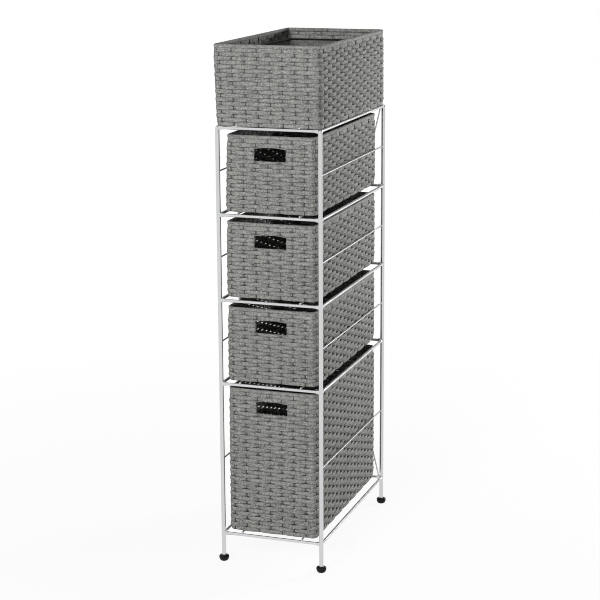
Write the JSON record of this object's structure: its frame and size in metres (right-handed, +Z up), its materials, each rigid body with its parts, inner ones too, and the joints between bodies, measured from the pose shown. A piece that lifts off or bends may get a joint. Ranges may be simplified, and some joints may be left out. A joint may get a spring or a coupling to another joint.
{
  "type": "storage tower",
  "caption": "Slim free-standing rack of silver steel rods with woven grey pull-out baskets that have hand-holes, and an open woven basket standing on top.",
  "frame": {"origin": "middle of the footprint, on the floor", "axes": "+Z up, -Y towards the front that the baskets pull out of, +X to the right seen from the front"},
  "size_m": [0.2186, 0.4266, 1.0029],
  "materials": {
    "frame_silver": "satin silver paint",
    "foot_black": "glossy black",
    "weave_grey": "tightly woven flat paper rope, matt",
    "skeleton_wire": "dark coated wire",
    "liner_felt": "soft non-woven cloth"
  },
  "bodies": {
    "frame": {"post_front_left": "frame_silver", "post_front_right": "frame_silver", "post_back_left": "frame_silver", "post_back_right": "frame_silver", "foot_front_left": "foot_black", "foot_front_right": "foot_black", "foot_back_left": "foot_black", "foot_back_right": "foot_black", "level_1_front_bar": "frame_silver", "level_1_back_bar": "frame_silver", "level_1_left_bar": "frame_silver", "level_1_right_bar": "frame_silver", "level_2_front_bar": "frame_silver", "level_2_back_bar": "frame_silver", "level_2_left_bar": "frame_silver", "level_2_right_bar": "frame_silver", "level_3_front_bar": "frame_silver", "level_3_back_bar": "frame_silver", "level_3_left_bar": "frame_silver", "level_3_right_bar": "frame_silver", "level_4_front_bar": "frame_silver", "level_4_back_bar": "frame_silver", "level_4_left_bar": "frame_silver", "level_4_right_bar": "frame_silver", "level_5_front_bar": "frame_silver", "level_5_back_bar": "frame_silver", "level_5_left_bar": "frame_silver", "level_5_right_bar": "frame_silver", "level_1_shelf_wires": "frame_silver", "level_2_shelf_wires": "frame_silver", "level_3_shelf_wires": "frame_silver", "level_4_shelf_wires": "frame_silver", "level_5_shelf_wires": "frame_silver", "bay_1_guide_wires": "frame_silver", "bay_2_guide_wires": "frame_silver", "bay_3_guide_wires": "frame_silver", "bay_4_guide_wires": "frame_silver", "brace_long": "frame_silver", "brace_halves": "frame_silver"},
    "basket_1": {"basket_1_weave": "weave_grey", "basket_1_rim": "weave_grey", "basket_1_skeleton": "skeleton_wire", "basket_1_grip": "weave_grey"},
    "basket_2": {"basket_2_weave": "weave_grey", "basket_2_rim": "weave_grey", "basket_2_skeleton": "skeleton_wire", "basket_2_grip": "weave_grey"},
    "basket_3": {"basket_3_weave": "weave_grey", "basket_3_rim": "weave_grey", "basket_3_skeleton": "skeleton_wire", "basket_3_grip": "weave_grey"},
    "basket_4": {"basket_4_weave": "weave_grey", "basket_4_rim": "weave_grey", "basket_4_skeleton": "skeleton_wire", "basket_4_grip": "weave_grey"},
    "top_basket": {"top_basket_weave": "weave_grey", "top_basket_rim": "weave_grey", "top_basket_skeleton": "skeleton_wire", "top_basket_liner": "liner_felt"}
  },
  "joints": [
    {"name": "basket_1_pull_out", "type": "slide", "parent": "frame", "child": "basket_1", "axis": [0, -1, 0], "range_m": [0, 0.41]},
    {"name": "basket_2_pull_out", "type": "slide", "parent": "frame", "child": "basket_2", "axis": [0, -1, 0], "range_m": [0, 0.41]},
    {"name": "basket_3_pull_out", "type": "slide", "parent": "frame", "child": "basket_3", "axis": [0, -1, 0], "range_m": [0, 0.41]},
    {"name": "basket_4_pull_out", "type": "slide", "parent": "frame", "child": "basket_4", "axis": [0, -1, 0], "range_m": [0, 0.41]},
    {"name": "top_basket_lift_off", "type": "slide", "parent": "frame", "child": "top_basket", "axis": [0, 0, 1], "range_m": [0, 0.1]}
  ]
}
